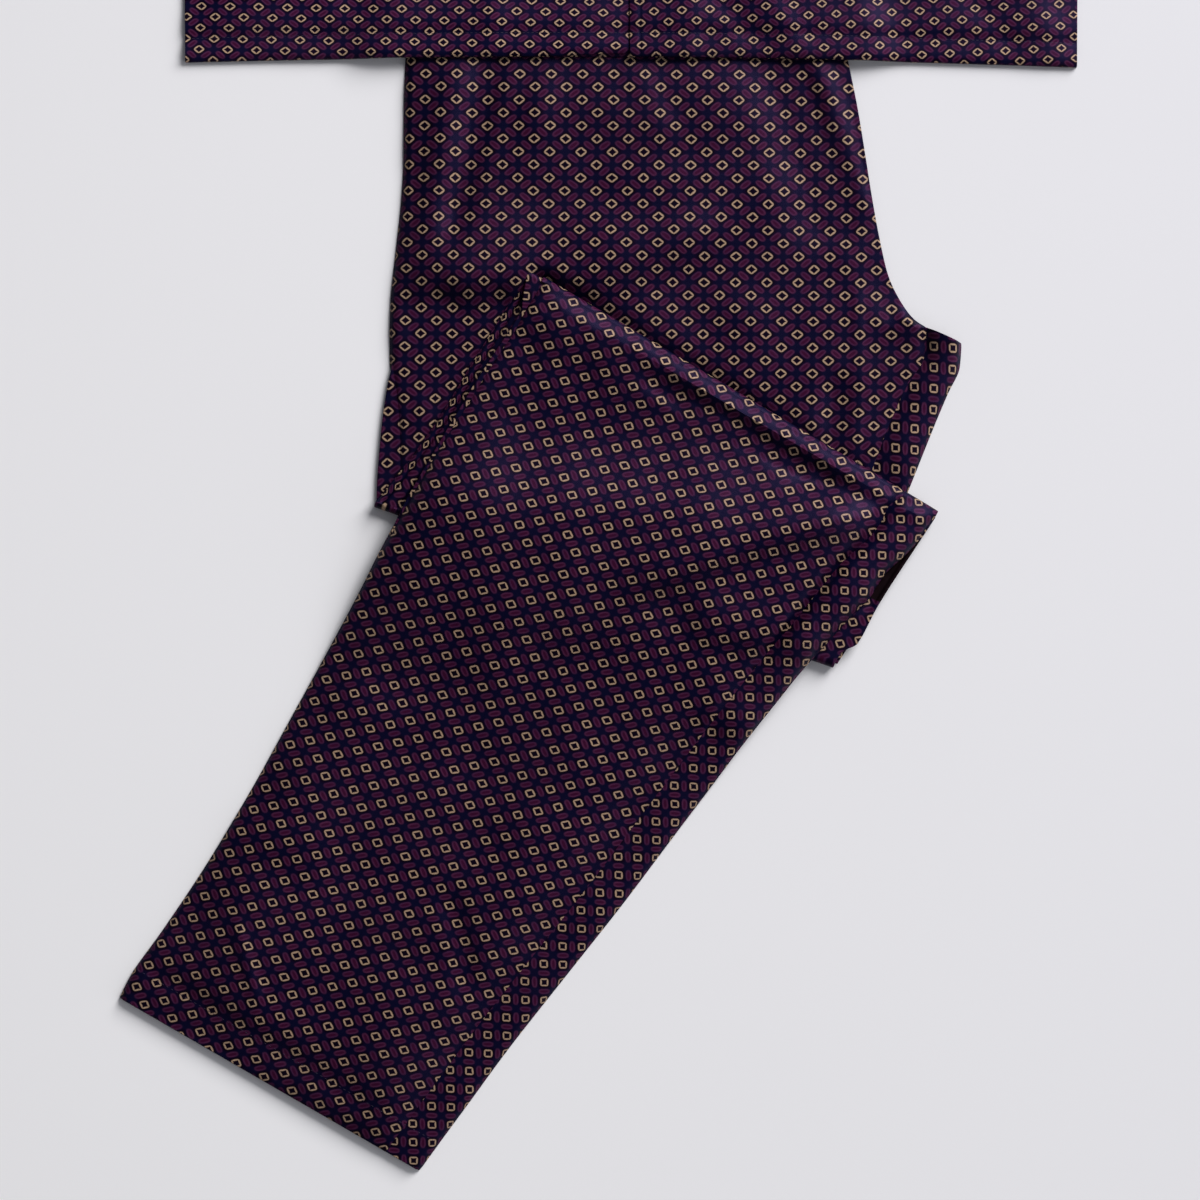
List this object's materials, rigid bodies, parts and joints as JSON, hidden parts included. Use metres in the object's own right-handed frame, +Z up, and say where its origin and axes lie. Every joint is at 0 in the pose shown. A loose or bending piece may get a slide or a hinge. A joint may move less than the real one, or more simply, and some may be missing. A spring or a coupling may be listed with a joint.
{
  "type": "pyjama set",
  "caption": "Button-through long-sleeved pyjama shirt laid flat over the waist of folded pyjama trousers in one printed cloth.",
  "frame": {"origin": "middle of the laid-out set's outline, on the surface it lies on", "axes": "+Z up from the surface, +Y towards the shirt's neck, +X towards the wearer's left side"},
  "size_m": [1.3332, 1.3648, 0.0213],
  "materials": {
    "trousers_cloth": "soft sheen, printed",
    "shirt_cloth": "soft sheen, printed",
    "button": "satin"
  },
  "bodies": {
    "root": {"trousers_hidden_layers": "trousers_cloth", "trousers_leg_panel": "trousers_cloth", "trousers_inseam_strip": "trousers_cloth", "trousers_waistband": "trousers_cloth", "shirt_back": "shirt_cloth", "shirt_right_front": "shirt_cloth", "shirt_left_front": "shirt_cloth", "shirt_left_sleeve": "shirt_cloth", "shirt_right_sleeve": "shirt_cloth", "shirt_button_1": "button", "shirt_button_2": "button", "shirt_button_3": "button", "shirt_button_4": "button", "shirt_button_5": "button"}
  },
  "joints": []
}
